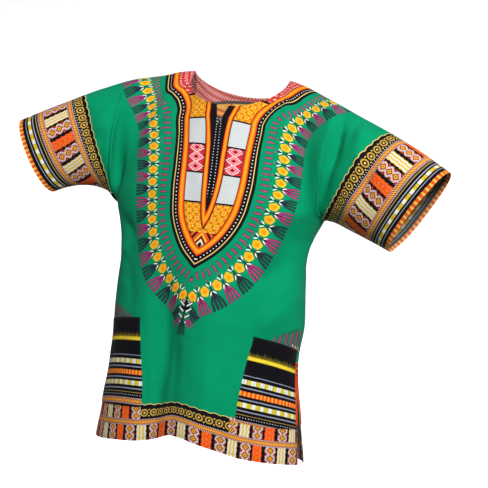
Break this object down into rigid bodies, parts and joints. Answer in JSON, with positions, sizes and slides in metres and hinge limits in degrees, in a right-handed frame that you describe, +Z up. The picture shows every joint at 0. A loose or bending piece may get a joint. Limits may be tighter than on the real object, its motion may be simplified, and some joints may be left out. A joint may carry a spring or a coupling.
{
  "type": "dashiki shirt",
  "caption": "Hollow pullover cotton shirt in its worn form, round neck with a short front slit, short wide sleeves held out, patch pockets low on the front, and open side vents.",
  "frame": {"origin": "midway between the two neck points, at the height of the shoulders, where the shirt rests on its wearer", "axes": "+X to the wearer's left along the spread sleeves, +Y to the back, +Z up; the front faces -Y"},
  "size_m": [0.9774, 0.2957, 0.8524],
  "materials": {
    "printed_cotton": "matt plain weave, green with printed borders and a printed neck yoke",
    "pocket_cotton": "matt plain weave, black with printed stripes",
    "vent_tape": "matt woven tape, orange"
  },
  "bodies": {
    "root": {"front": "printed_cotton", "back": "printed_cotton", "pocket_left": "pocket_cotton", "pocket_right": "pocket_cotton", "vent_strip_front_left": "vent_tape", "vent_strip_front_right": "vent_tape", "vent_strip_back_left": "vent_tape", "vent_strip_back_right": "vent_tape"}
  },
  "joints": []
}
